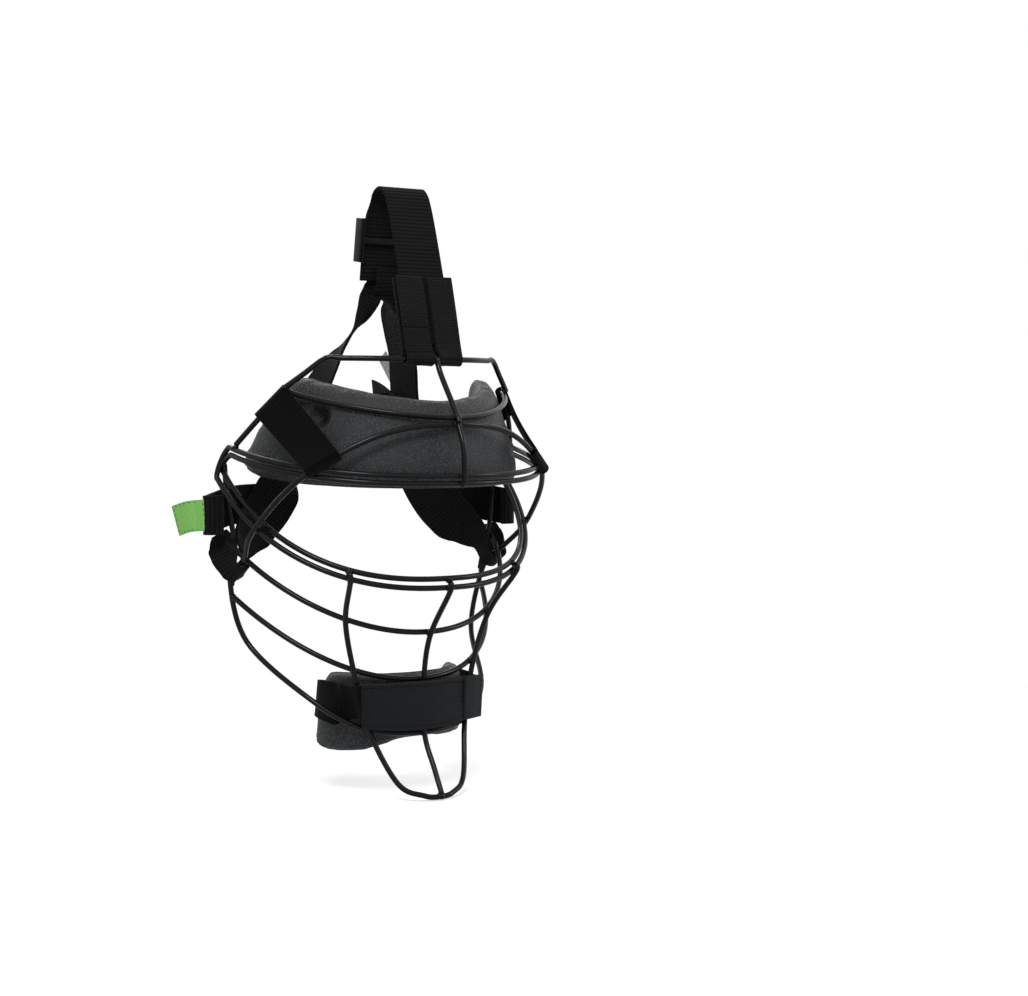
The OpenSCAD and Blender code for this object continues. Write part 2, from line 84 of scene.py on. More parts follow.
# Radius of the coated wire, and thickness of webbing, pull tags and care label
WIRE_R = 1.7 * MM
WEB_T = 1.8 * MM
TAG_T = 1.0 * MM
LABEL_T = 0.8 * MM
# Spacing of the ribs across elastic and across webbing, and of the stitches
RIB_PITCH = 2.7 * MM
WEB_PITCH = 2.4 * MM
STITCH_PITCH = 3.1 * MM
# Moulded hollow in the forehead pad: its middle, radius and depth
HOLLOW = Vector((-67.5, -50.2, 28.6)) * MM
HOLLOW_R = 8.5 * MM
HOLLOW_DEPTH = 5.5 * MM
# Middles of the head and of the chin, which the wires bend round
HEAD = Vector((0, 0.02, -0.04))
CHIN = Vector((0, 0, -0.12))
BODY_OF = {n: b for b, ns in frame["record"]["behaviour"]["bodies"].items() for n in ns}


# Colours and nodes
def colour(code):
    """The linear colour of an sRGB code such as #1b1b1d."""
    parts = [int(code[i:i + 2], 16) / 255 for i in (1, 3, 5)]
    return [c / 12.92 if c <= 0.04045 else ((c + 0.055) / 1.055) ** 2.4 for c in parts] + [1.0]


def put(tree, kind, inputs=None, **settings):
    """Adds a node with its settings, and sets or links its inputs."""
    node = tree.nodes.new(kind)
    for key, value in settings.items():
        setattr(node, key, value)
    for key, value in (inputs or {}).items():
        if isinstance(value, bpy.types.NodeSocket):
            tree.links.new(value, node.inputs[key])
        else:
            node.inputs[key].default_value = value
    return node


def maths(tree, operation, a, b=0.0):
    """The result of a sum on two numbers or outputs."""
    return put(tree, "ShaderNodeMath", {0: a, 1: b}, operation=operation).outputs[0]


def noise(tree, where, size, detail=3.0):
    """Noise whose features are size metres across."""
    made = put(tree, "ShaderNodeTexNoise", {"Vector": where, "Scale": 1 / size, "Detail": detail})
    return made.outputs["Fac"]


def mix(tree, share, low, high):
    """The colour at a share of the way from low to high, each a colour code or a node's output."""
    low, high = (colour(c) if isinstance(c, str) else c for c in (low, high))
    return put(tree, "ShaderNodeMix", {0: share, 6: low, 7: high}, data_type="RGBA").outputs[2]


def spread(tree, value, low, high, out_low=0.0, out_high=1.0):
    """Stretches the range from low to high over out_low to out_high."""
    return put(tree, "ShaderNodeMapRange", {"Value": value, "From Min": low, "From Max": high,
                                            "To Min": out_low, "To Max": out_high}).outputs[0]


def bump(tree, height, depth, strength=1.0, under=None):
    """A surface normal tilted by a height of depth metres, over another normal if one is given."""
    inputs = {"Height": height, "Distance": depth, "Strength": strength}
    if under:
        inputs["Normal"] = under
    return put(tree, "ShaderNodeBump", inputs).outputs[0]


def new_material(name, **values):
    """A material with its principled shader, whose plain numbers are set on its own sockets."""
    made = bpy.data.materials.new(name)
    made.use_nodes = True
    tree = made.node_tree
    tree.nodes.clear()
    shader = put(tree, "ShaderNodeBsdfPrincipled", values)
    out = put(tree, "ShaderNodeOutputMaterial", {"Surface": shader.outputs[0]})
    out.location = (300, 0)
    place = put(tree, "ShaderNodeTexCoord")
    return made, tree, shader, place.outputs["Object"], place.outputs["UV"]


def dipped_steel():
    """Steel wire dipped in black vinyl: near black, with a thin clear line of light along each bar."""
    made, tree, shader, place, _ = new_material(
        "dipped_steel", **{"Coat Weight": 0.5, "Coat Roughness": 0.15, "Coat IOR": 1.3,
                           "Specular IOR Level": 0.08})
    cloud = noise(tree, place, 14 * MM, 3.0)
    ripple = noise(tree, place, 3.5 * MM, 1.0)
    tree.links.new(mix(tree, cloud, "#020203", "#070708"), shader.inputs["Base Color"])
    tree.links.new(spread(tree, cloud, 0.3, 0.7, 0.3, 0.44), shader.inputs["Roughness"])
    tree.links.new(bump(tree, ripple, 0.06 * MM, 0.06), shader.inputs["Normal"])
    return made


def grained_leatherette():
    """Coated fabric over foam: near black and pebbled, with painted glints on the pebble crests, painted
    shade between them and in the hollow, and painted light, a warmer grey, where it faces up.
    """
    made, tree, shader, place, _ = new_material("grained_leatherette", **{"Specular IOR Level": 0.32})
    pebble = noise(tree, place, 1.1 * MM, 2.0)
    fine = noise(tree, place, 0.6 * MM, 2.0)
    patch = noise(tree, place, 24 * MM, 3.0)
    grains = maths(tree, "ADD", maths(tree, "MULTIPLY", pebble, 0.6), maths(tree, "MULTIPLY", fine, 0.4))
    crest = spread(tree, grains, 0.46, 0.64)
    normal = put(tree, "ShaderNodeTexCoord").outputs["Normal"]
    # Painted light: faces that look up are given a lighter, warmer grey, as if lit from above.
    painted_top_light = spread(tree, put(tree, "ShaderNodeSeparateXYZ", {0: normal}).outputs[2], 0.3, 0.75)
    dark = mix(tree, painted_top_light, mix(tree, patch, "#020304", "#08090b"), "#1d1c1a")
    pale = mix(tree, painted_top_light, mix(tree, patch, "#242b30", "#3d454b"), "#4a4742")
    # Painted highlight and shade: the pebble crests are coloured paler as glints, and the hollows between
    # them darker as shade.
    skin = mix(tree, crest, dark, pale)
    # Painted shade: the colour goes near black towards the middle of the moulded hollow.
    away = put(tree, "ShaderNodeVectorMath", {0: place, 1: HOLLOW}, operation="DISTANCE").outputs["Value"]
    skin = mix(tree, spread(tree, away, HOLLOW_R * 0.5, HOLLOW_R * 0.95), "#020202", skin)
    tree.links.new(skin, shader.inputs["Base Color"])
    tree.links.new(spread(tree, crest, 0.0, 1.0, 0.5, 0.34), shader.inputs["Roughness"])
    grain = bump(tree, crest, 0.3 * MM, 0.9)
    tree.links.new(bump(tree, patch, 0.9 * MM, 0.3, grain), shader.inputs["Normal"])
    return made


def ribbed_elastic():
    """Knitted elastic: soft ribs across the band and fine rubber cords along it, with painted shade in the
    grooves between them.
    """
    made, tree, shader, place, uv = new_material(
        "ribbed_elastic", **{"Roughness": 0.92, "Sheen Weight": 0.05, "Specular IOR Level": 0.06})
    axes = put(tree, "ShaderNodeSeparateXYZ", {0: uv})
    rib = maths(tree, "COSINE", maths(tree, "MULTIPLY", axes.outputs[0], 2 * math.pi / RIB_PITCH))
    cord = maths(tree, "SINE", maths(tree, "MULTIPLY", axes.outputs[1], 2 * math.pi / (1.1 * MM)))
    both = maths(tree, "ADD", maths(tree, "MULTIPLY", rib, -1.0), maths(tree, "MULTIPLY", cord, 0.6))
    # Painted shade: the colour follows the rib and cord height, darker in the grooves.
    share = spread(tree, maths(tree, "ADD", both, noise(tree, place, 1.2 * MM)), -1.2, 2.6)
    tree.links.new(mix(tree, share, "#020202", "#0c0c0d"), shader.inputs["Base Color"])
    tree.links.new(bump(tree, both, 0.12 * MM, 0.45), shader.inputs["Normal"])
    return made


def woven_webbing(name, pick, end, low, high, sheen=0.05, slant=0.5):
    """Polyester webbing: ribs across it, crossed by finer yarns along it, with faint fuzz and painted shade
    in the valleys of the weave.
    """
    made, tree, shader, place, uv = new_material(
        name, **{"Roughness": 0.85, "Sheen Weight": sheen, "Sheen Roughness": 0.4,
                 "Specular IOR Level": 0.1})
    axes = put(tree, "ShaderNodeSeparateXYZ", {0: uv})
    along = maths(tree, "MULTIPLY", axes.outputs[0], 2 * math.pi / pick)
    across = maths(tree, "MULTIPLY", axes.outputs[1], 2 * math.pi / end)
    offset = maths(tree, "MULTIPLY", maths(tree, "SINE", across), slant)
    rib = maths(tree, "MULTIPLY", maths(tree, "COSINE", maths(tree, "ADD", along, offset)), -1.0)
    yarn = maths(tree, "SINE", across)
    height = maths(tree, "ADD", maths(tree, "MULTIPLY", rib, 0.8), maths(tree, "MULTIPLY", yarn, 0.3))
    fuzz = noise(tree, place, 0.8 * MM, 4.0)
    wear = noise(tree, place, 26 * MM, 3.0)
    # Painted shade: the colour follows the weave's height, darker in the valleys between ribs and yarns;
    # the fuzz and wear noise is the cloth's own tone.
    share = spread(tree, maths(tree, "ADD", height, maths(tree, "ADD", fuzz, wear)), -0.2, 2.2)
    tree.links.new(mix(tree, share, low, high), shader.inputs["Base Color"])
    tree.links.new(bump(tree, height, 0.22 * MM, 0.8), shader.inputs["Normal"])
    return made


def stretch_panel():
    """Brushed stretch fabric of the chin panel: matt, its knit drawn coarse enough to show."""
    made, tree, shader, place, _ = new_material(
        "stretch_panel", **{"Roughness": 0.8, "Sheen Weight": 0.08, "Specular IOR Level": 0.12})
    knit = put(tree, "ShaderNodeTexVoronoi", {"Vector": place, "Scale": 1 / (0.7 * MM)})
    cells = knit.outputs["Distance"]
    patch = noise(tree, place, 9 * MM, 4.0)
    tone = maths(tree, "ADD", maths(tree, "MULTIPLY", cells, 0.6), maths(tree, "MULTIPLY", patch, 0.5))
    tree.links.new(mix(tree, tone, "#07090b", "#171b20"), shader.inputs["Base Color"])
    tree.links.new(bump(tree, cells, 0.08 * MM, 0.6), shader.inputs["Normal"])
    return made


def moulded_slider():
    """Moulded nylon: dark and waxy, with a spark-eroded surface."""
    made, tree, shader, place, _ = new_material("moulded_slider", **{"Specular IOR Level": 0.2})
    grit = noise(tree, place, 0.35 * MM, 3.0)
    patch = noise(tree, place, 8 * MM, 2.0)
    tree.links.new(mix(tree, patch, "#050506", "#0c0c0d"), shader.inputs["Base Color"])
    tree.links.new(spread(tree, patch, 0.3, 0.7, 0.34, 0.5), shader.inputs["Roughness"])
    tree.links.new(bump(tree, grit, 0.04 * MM, 0.5), shader.inputs["Normal"])
    return made


STEEL = dipped_steel()
LEATHER = grained_leatherette()
ELASTIC = ribbed_elastic()
WEBBING = woven_webbing("woven_webbing", WEB_PITCH, 1.9 * MM, "#020202", "#151516")
TAB_WEB = woven_webbing("fine_webbing", 1.5 * MM, 1.7 * MM, "#030304", "#18191a")
PANEL = stretch_panel()
GREEN = woven_webbing("green_ribbon", 0.8 * MM, 0.7 * MM, "#78be59", "#97d677")
SATIN = woven_webbing("white_satin", 0.6 * MM, 0.5 * MM, "#d4d4d0", "#f0f0ec")
THREAD = woven_webbing("sewing_thread", 0.5 * MM, 0.4 * MM, "#101011", "#2c2c2e", 0.2)
LEAF_THREAD = woven_webbing("green_thread", 0.5 * MM, 0.4 * MM, "#3f7a2e", "#569a40", 0.2)
SLIDER = moulded_slider()


# Objects and meshes
def add(name, data):
    """A new object in the scene with its mesh, lamp or lens."""
    made = bpy.data.objects.new(name, data)
    bpy.context.scene.collection.objects.link(made)
    return made


def shade_smooth(mesh):
    """Shades every face of a mesh smooth."""
    mesh.polygons.foreach_set("use_smooth", [True] * len(mesh.polygons))


def bake(piece):
    """Applies a piece's modifiers to its mesh."""
    bpy.context.view_layer.update()
    made = bpy.data.meshes.new_from_object(piece.evaluated_get(bpy.context.evaluated_depsgraph_get()))
    piece.modifiers.clear()
    piece.data = made


def finished(name, verts, faces, material, body, nodes=(), uvs=None):
    """A smooth piece from its points and faces, settled on its body."""
    mesh = bpy.data.meshes.new(name)
    mesh.from_pydata([tuple(v) for v in verts], [], faces)
    if uvs:
        layer = mesh.uv_layers.new(name="flat")
        corners = [uvs[loop.vertex_index] for loop in mesh.loops]
        layer.data.foreach_set("uv", [c for corner in corners for c in corner])
    mesh.materials.append(material)
    shade_smooth(mesh)
    mesh.update()
    return settled(add(name, mesh), body, nodes)


def settled(piece, body, nodes=()):
    """The piece with the solids that it stands for and its body."""
    if nodes:
        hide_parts(*nodes)
    if body:
        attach(piece, body)
    return piece


def merged(node):
    """A copy of a solid's mesh with its triangles joined."""
    bm = bmesh.new()
    bm.from_mesh(frame["nodes"][node].data)
    bmesh.ops.remove_doubles(bm, verts=bm.verts, dist=2e-6)
    bm.normal_update()
    return bm


def between(p, i, t, closed):
    """The point at share t from p[i] to p[i + 1] on a smooth curve through the points p."""
    n = len(p)
    if closed:
        a, b, c, d = (p[(i + k) % n] for k in (-1, 0, 1, 2))
    else:
        b, c = p[i], p[i + 1]
        a = p[i - 1] if i > 0 else 2 * b - c
        d = p[i + 2] if i + 2 < n else 2 * c - b
    curve = (2 * a - 5 * b + 4 * c - d) * t * t + (3 * b - a - 3 * c + d) * t ** 3
    return 0.5 * (2 * b + (c - a) * t + curve)


def wire_path(node):
    """The middle line of a wire solid, from its rings of eight corners, and whether it is a closed loop."""
    bm = merged(node)
    # One side of a full ring and of the smaller ring that rounds an end
    sizes = [2 * r * math.sin(math.pi / 8) for r in (WIRE_R, WIRE_R * 0.6)]
    near = {v: [] for v in bm.verts}
    for e in bm.edges:
        if min(abs(e.calc_length() - s) for s in sizes) < 4e-6:
            near[e.verts[0]].append(e)
            near[e.verts[1]].append(e)
    ring_of = {}
    rings = []
    for start in bm.verts:
        if start in ring_of:
            continue
        ring = [start]
        ring_of[start] = len(rings)
        for v in ring:
            for e in near[v]:
                w = e.other_vert(v)
                if w not in ring_of and (len(near[v]) <= 2 or len(near[w]) <= 2):
                    ring_of[w] = len(rings)
                    ring.append(w)
        rings.append(ring)
    links = [set() for _ in rings]
    for e in bm.edges:
        a, b = (ring_of[v] for v in e.verts)
        if a != b:
            links[a].add(b)
            links[b].add(a)
    middle = [sum((v.co for v in ring), Vector()) / len(ring) for ring in rings]
    bm.free()
    ends = [i for i, other in enumerate(links) if len(other) == 1]
    closed = not ends
    order = [min(ends or range(len(rings)), key=lambda i: (middle[i].x, middle[i].z))]
    while len(order) < len(rings):
        ahead = [i for i in links[order[-1]] if i not in order]
        if not ahead:
            break
        order.append(min(ahead))
    return [middle[i] for i in order], closed


def tube(name, path, closed, radius, sides, material, nodes=(), slot=None, away=HEAD, fine=3):
    """A round wire of the cage along a path, with its ends rounded."""
    last = len(path) if closed else len(path) - 1
    line = [between(path, i, j / fine, closed) for i in range(last) for j in range(fine)]
    if not closed:
        line.append(path[-1])
    sizes = [radius] * len(line)
    if not closed:
        first, back = (line[1] - line[0]).normalized(), (line[-2] - line[-1]).normalized()
        steps = ((0.0, 0.5), (0.12, 0.8), (0.4, 0.97), (0.8, 1.0))
        keep = [p for p in line if min((p - line[0]).length, (p - line[-1]).length) > radius * 1.2]
        rounding = [radius * s for _, s in steps]
        sizes = rounding + [radius] * len(keep) + rounding[::-1]
        line = ([line[0] + first * radius * d for d, _ in steps] + keep
                + [line[-1] + back * radius * d for d, _ in reversed(steps)])
    n = len(line)
    verts, uvs, run = [], [], 0.0
    for i, p in enumerate(line):
        before = line[(i - 1) % n] if closed else line[max(i - 1, 0)]
        after = line[(i + 1) % n] if closed else line[min(i + 1, n - 1)]
        t = (after - before).normalized()
        out = p - away
        a = (out - t * out.dot(t)).normalized()
        b = t.cross(a)
        run += (p - line[i - 1]).length if i else 0.0
        for j in range(sides):
            turn = 2 * math.pi * j / sides
            verts.append(p + sizes[i] * (a * math.cos(turn) + b * math.sin(turn)))
            uvs.append((run, radius * turn))
    faces = [[i * sides + j, (i + 1) % n * sides + j, (i + 1) % n * sides + (j + 1) % sides,
              i * sides + (j + 1) % sides] for i in range(n if closed else n - 1) for j in range(sides)]
    if not closed:
        faces += [[j for j in range(sides)], [(n - 1) * sides + j for j in reversed(range(sides))]]
    faces = [list(reversed(f)) for f in faces]
    return finished(name, verts, faces, material, "cage", nodes, uvs)


class Strap:
    """The rows of a flat strap, read from its solid: middle, half width and facing."""

    def __init__(self, node, thick, rows=None):
        self.node = node
        self.thick = thick
        self.rows = rows or self.read(node, thick)
        self.measure()

    def measure(self):
        """Sets the length up to each row."""
        self.run = [0.0]
        for before, after in zip(self.rows, self.rows[1:]):
            self.run.append(self.run[-1] + (after[0] - before[0]).length)
        self.length = self.run[-1]

    @staticmethod
    def read(node, thick):
        """The rows of a solid whose edges of the strap's own thickness are its posts."""
        bm = merged(node)
        posts = [e for e in bm.edges if abs(e.calc_length() - thick) < 3e-6]
        post_of = {}
        for i, e in enumerate(posts):
            for v in e.verts:
                post_of[v] = i
        count = {}
        for e in bm.edges:
            a, b = sorted(post_of[v] for v in e.verts)
            if a != b:
                count[a, b] = count.get((a, b), 0) + 1
        links = [set() for _ in posts]
        for (a, b), times in count.items():
            if times >= 2:
                links[a].add(b)
                links[b].add(a)
        spot = [(e.verts[0].co + e.verts[1].co) / 2 for e in posts]
        corners = [i for i in range(len(posts)) if len(links[i]) == 2]
        left = max(corners, key=lambda i: (round(spot[i].z, 5), spot[i].x))
        right = next(i for i in links[left] if i in corners)
        seen = {left, right}
        pairs = [(left, right)]
        while len(seen) < len(posts):
            left = next(i for i in links[left] if i not in seen)
            right = next(i for i in links[right] if i not in seen and i != left)
            seen |= {left, right}
            pairs.append((left, right))
        top = posts[pairs[0][0]].verts[0].co
        rows = []
        for a, b in pairs:
            ends = [v.co for v in posts[a].verts]
            ends.sort(key=lambda p: (p - top).length)
            top = ends[0]
            facing = (ends[0] - ends[1]).normalized()
            rows.append(((spot[a] + spot[b]) / 2, (spot[b] - spot[a]) / 2, facing))
        bm.free()
        return rows

    def reshape(self, stops):
        """Turns and widens the rows, by stops of length in mm, degrees and scale."""
        made = []
        for i, (c, x, y) in enumerate(self.rows):
            u = self.run[i] / MM
            before = max((s for s in stops if s[0] <= u), default=stops[0])
            after = min((s for s in stops if s[0] >= u), default=stops[-1])
            t = (u - before[0]) / (after[0] - before[0]) if after[0] > before[0] else 0.0
            t = t * t * (3 - 2 * t)
            angle, scale = (before[k] * (1 - t) + after[k] * t for k in (1, 2))
            d = self.rows[min(i + 1, len(self.rows) - 1)][0] - self.rows[max(i - 1, 0)][0]
            spin = Matrix.Rotation(math.radians(angle), 3, d.normalized())
            made.append((c, spin @ x * scale, spin @ y))
        self.rows = made

    def row(self, u):
        """Middle, half width, facing and direction at the length u."""
        u = min(max(u, 0.0), self.length)
        i = 0
        while i < len(self.run) - 2 and self.run[i + 1] < u:
            i += 1
        t = (u - self.run[i]) / (self.run[i + 1] - self.run[i])
        mid = [r[0] for r in self.rows]
        half = [r[1] for r in self.rows]
        c = between(mid, i, t, False)
        x = between(half, i, t, False)
        ahead, back = (between(mid, i, min(max(t + step, 0), 1), False) for step in (0.02, -0.02))
        d = (ahead - back).normalized()
        y = self.rows[i][2] * (1 - t) + self.rows[i + 1][2] * t
        n = d.cross(x).normalized()
        return c, x, (n if n.dot(y) > 0 else -n), d

    def at(self, u, v, out=0.0):
        """The place at length u, v across from -1 to 1, and out from the middle of the thickness."""
        c, x, n, _ = self.row(u)
        return c + x * v + n * out


# Half of a strap's section, from its edge to its middle: place across and half thickness
EDGE = [(-1, 0.3), (-0.988, 0.78), (-0.965, 1.0), (-0.93, 1.03), (-0.88, 0.9), (-0.7, 0.92), (-0.45, 0.92),
        (-0.2, 0.92), (0.0, 0.92)]
EDGE += [(-v, h) for v, h in reversed(EDGE[:-1])]


def web_mesh(strap, step, rib=0.0, pitch=RIB_PITCH, span=1.0):
    """Points, faces and flat places of a strap with rounded edges.

    Its ribs are a share of its thickness, or a rule on the place, and its span a share of its width, or a
    rule on the length.
    """
    rows = max(2, int(strap.length / step) + 1)
    verts, uvs = [], []
    side = len(EDGE)
    for i in range(rows):
        u = strap.length * i / (rows - 1)
        c, x, n, _ = strap.row(u)
        depth = rib(c) if callable(rib) else rib
        wave = 1 - depth * (0.5 + 0.5 * math.cos(2 * math.pi * u / pitch))
        fall = min(1.0, 0.45 + 0.55 * min(u, strap.length - u) / (0.6 * MM))
        wide = span(u) if callable(span) else span
        for s in (1, -1):
            for v, h in (EDGE if s > 0 else list(reversed(EDGE))):
                flat = 1.0 if abs(v) > 0.95 else wave
                verts.append(c + x * v * wide + n * (s * strap.thick / 2 * h * flat * fall))
                uvs.append((u, x.length * v * wide))
    m = 2 * side
    faces = [[i * m + j, i * m + (j + 1) % m, (i + 1) * m + (j + 1) % m, (i + 1) * m + j]
             for i in range(rows - 1) for j in range(m)]
    for base, turned in ((0, True), ((rows - 1) * m, False)):
        for j in range(side - 1):
            f = [base + j, base + j + 1, base + m - 2 - j, base + m - 1 - j]
            faces.append(list(reversed(f)) if turned else f)
    c, x, n, d = strap.row(strap.length / 2)
    if x.cross(n).dot(d) > 0:
        faces = [list(reversed(f)) for f in faces]
    return verts, faces, uvs


def web(name, strap, material, step=1.2 * MM, rib=0.0, replaces=True, span=1.0, pitch=RIB_PITCH):
    """A strap's mesh on the body that holds its solid."""
    verts, faces, uvs = web_mesh(strap, step, rib, pitch, span)
    nodes = [strap.node] if replaces else []
    return finished(name, verts, faces, material, BODY_OF[strap.node], nodes, uvs)


# Small repeated pieces: weld beads and stitches
def bead_group():
    """A node group that puts a rounded bead of a given size and material on every point of a mesh."""
    tree = bpy.data.node_groups.new("beads", "GeometryNodeTree")
    kinds = (("Points", "Geometry"), ("Shape", "Vector"), ("Sides", "Int"), ("Material", "Material"))
    for label, kind in kinds:
        tree.interface.new_socket(label, in_out="INPUT", socket_type="NodeSocket" + kind)
    tree.interface.new_socket("Beads", in_out="OUTPUT", socket_type="NodeSocketGeometry")
    given = put(tree, "NodeGroupInput").outputs
    ball = put(tree, "GeometryNodeMeshUVSphere", {"Segments": given["Sides"], "Rings": 6, "Radius": 1.0})
    turn = put(tree, "GeometryNodeInputNamedAttribute", {"Name": "turn"}, data_type="FLOAT_VECTOR")
    spin = put(tree, "FunctionNodeEulerToRotation", {0: turn.outputs[0]})
    laid = put(tree, "GeometryNodeInstanceOnPoints", {
        "Points": given["Points"], "Instance": ball.outputs[0], "Rotation": spin.outputs[0],
        "Scale": given["Shape"]})
    real = put(tree, "GeometryNodeRealizeInstances", {0: laid.outputs[0]})
    smooth = put(tree, "GeometryNodeSetShadeSmooth", {0: real.outputs[0]})
    dressed = put(tree, "GeometryNodeSetMaterial", {0: smooth.outputs[0], "Material": given["Material"]})
    put(tree, "NodeGroupOutput", {"Beads": dressed.outputs[0]})
    return tree


BEADS = bead_group()


def beads(name, spots, shape, sides, material, body):
    """One bead at each spot of place, long direction and up direction."""
    mesh = bpy.data.meshes.new(name + "_spots")
    mesh.from_pydata([tuple(s[0]) for s in spots], [], [])
    mesh.attributes.new("turn", "FLOAT_VECTOR", "POINT")
    turn = mesh.attributes["turn"]
    for i, (_, long, up) in enumerate(spots):
        a = long.normalized()
        c = (up - a * up.dot(a)).normalized()
        b = c.cross(a)
        turn.data[i].vector = Matrix((a, b, c)).transposed().to_euler()
    holder = add(name + "_spots", mesh)
    live = holder.modifiers.new("beads", "NODES")
    live.node_group = BEADS
    keys = {s.name: s.identifier for s in BEADS.interface.items_tree if s.in_out == "INPUT"}
    live[keys["Shape"]] = shape
    live[keys["Sides"]] = sides
    live[keys["Material"]] = material
    bake(holder)
    made = holder.data
    made.name = name
    bpy.data.objects.remove(holder)
    return settled(add(name, made), body, ())


def seam(strap, ends, out):
    """Stitches on a strap's face, from the first to the second (length, across)."""
    (u0, v0), (u1, v1) = ends
    width = strap.row((u0 + u1) / 2)[1].length
    count = max(1, round(math.hypot(u1 - u0, (v1 - v0) * width) / STITCH_PITCH))
    spots = []
    for i in range(count):
        f, g = (i + 0.22) / count, (i + 0.78) / count
        a = strap.at(u0 + (u1 - u0) * f, v0 + (v1 - v0) * f, out)
        b = strap.at(u0 + (u1 - u0) * g, v0 + (v1 - v0) * g, out)
        spots.append(((a + b) / 2, b - a, strap.row(u0 + (u1 - u0) * f)[2] * (1 if out > 0 else -1)))
    return spots


# Wires of the cage, smooth and round, on the lines of their solids
WIRES = ("visor_loop_outer", "visor_loop_inner", "outer_frame", "forehead_ring", "top_bar", "crown_wire",
         "nose_bar", "mouth_bar", "centre_bar", "throat_bar", "upright_left", "upright_right")
LOW_WIRES = ("centre_bar", "throat_bar")
paths = {}
for wire in WIRES:
    paths[wire] = wire_path(wire)
    away = CHIN if wire in LOW_WIRES else HEAD
    tube(wire + "_dipped", *paths[wire], WIRE_R, 16, STEEL, [wire], "coated_wire", away)


def crossings():
    """Each place where two wires are welded: distance, a point on each and their directions."""
    found = []
    names = list(paths)
    for i, first in enumerate(names):
        for second in names[i + 1:]:
            p, q = paths[first], paths[second]
            spots = []
            for a, a2 in zip(p[0], p[0][1:] + ([p[0][0]] if p[1] else [])):
                for b, b2 in zip(q[0], q[0][1:] + ([q[0][0]] if q[1] else [])):
                    if ((a + a2) / 2 - (b + b2) / 2).length > 14 * MM:
                        continue
                    u, v = a2 - a, b2 - b
                    w = a - b
                    uu, uv, vv = u.dot(u), u.dot(v), v.dot(v)
                    det = uu * vv - uv * uv
                    s = min(max((uv * w.dot(v) - vv * w.dot(u)) / det, 0), 1) if det > 1e-16 else 0.5
                    t = min(max((w.dot(v) + s * uv) / vv, 0), 1)
                    s = min(max((t * uv - w.dot(u)) / uu, 0), 1)
                    x, y = a + u * s, b + v * t
                    if (x - y).length < 2 * WIRE_R + 0.4 * MM:
                        spots.append(((x - y).length, x, y, u.normalized(), v.normalized()))
            kept = []
            for spot in sorted(spots, key=lambda s: s[0]):
                if all((spot[1] - other[1]).length > 9 * MM for other in kept):
                    kept.append(spot)
            found += kept
    return found


weld_spots = []
for near, x, y, u, v in crossings():
    line = (y - x).normalized() if near > 0.3 * MM else u.cross(v).normalized()
    mean = (u + v if u.dot(v) > 0 else u - v).normalized()
    weld_spots.append(((x + y) / 2, mean, line))

# Straps and sleeves
straps = {n: Strap(n, WEB_T) for n in (
    "top_strap", "strap_tab_left", "strap_tab_right", "side_strap_left", "side_strap_right", "rear_band",
    "hook_tab", "strap_end_left", "strap_end_right", "chin_sleeve", "sleeve_flap")}
straps["care_label"] = Strap("care_label", LABEL_T)

# Each side strap has its loose end inside the jaw loop, and each tag its root inside the sewn end
for side, sign in (("left", 1), ("right", -1)):
    straps["pull_tag_" + side] = Strap("pull_tag_" + side, TAG_T)
    loose = straps["side_strap_" + side]
    loose.rows += [(Vector((sign * x, y, z)) * MM, loose.rows[-1][1], loose.rows[-1][2])
                   for x, y, z in ((101.0, 10.8, -45.6), (100.9, 12.0, -42.6))]
    loose.measure()
    tag = straps["pull_tag_" + side]
    root, half, face = tag.rows[0]
    tag.rows.insert(0, (root + (root - tag.rows[1][0]).normalized() * 2.6 * MM, half, face))
    tag.measure()
    straps["strap_end_" + side].thick = 2.8 * MM

# No bead shows where a strap goes round its weld
for side in ("left", "right"):
    middles = [row[0] for row in straps["side_strap_" + side].rows]
    weld_spots = [spot for spot in weld_spots if min((spot[0] - c).length for c in middles) > 8 * MM]
beads("weld_beads", weld_spots, (2.7 * MM, 2.3 * MM, 1.5 * MM), 14, STEEL, "cage")

# The top strap runs smoothly through the slider, a little thinner than its solid
crown = straps["top_strap"]
crown.thick = 1.4 * MM
spaced = [crown.rows[0]]
for row in crown.rows[1:]:
    if (row[0] - spaced[-1][0]).length > 3.5 * MM:
        spaced.append(row)
crown.rows = spaced
crown.measure()

# How the side straps turn and widen from the V down to the jaw loops: mm along, degrees, width
straps["side_strap_left"].reshape([
    (8, 0, 1), (14, 50, 1), (17.3, 95, 1), (21.4, 138, 1), (26, 180, 1), (178, 180, 1), (184, 180, 1.15),
    (194, 180, 1.4), (203, 180, 1.7), (211, 180, 1.5), (218, 180, 1.1), (224, 180, 1), (238, 180, 1.15),
    (246, 180, 1.6), (254, 180, 1.4), (260, 180, 0.9)])
straps["side_strap_right"].reshape([
    (7, 0, 1), (10.3, 25, 1), (17.6, 55, 1), (25.7, 35, 1), (37.7, 0, 1), (53, -8, 1), (64, -19, 1),
    (75, -17, 1), (95, 0, 1), (132, 0, 1), (151, 25, 1), (175, 30, 1), (184, 32, 1.2), (191, 36, 1.4),
    (200, 38, 1.7), (208, 28, 1.5), (216, 10, 1.1), (221, 0, 1), (231, 20, 1.15), (240, 36, 1.5),
    (246, 40, 1.6), (251, 40, 1.3), (257, 30, 0.9)])


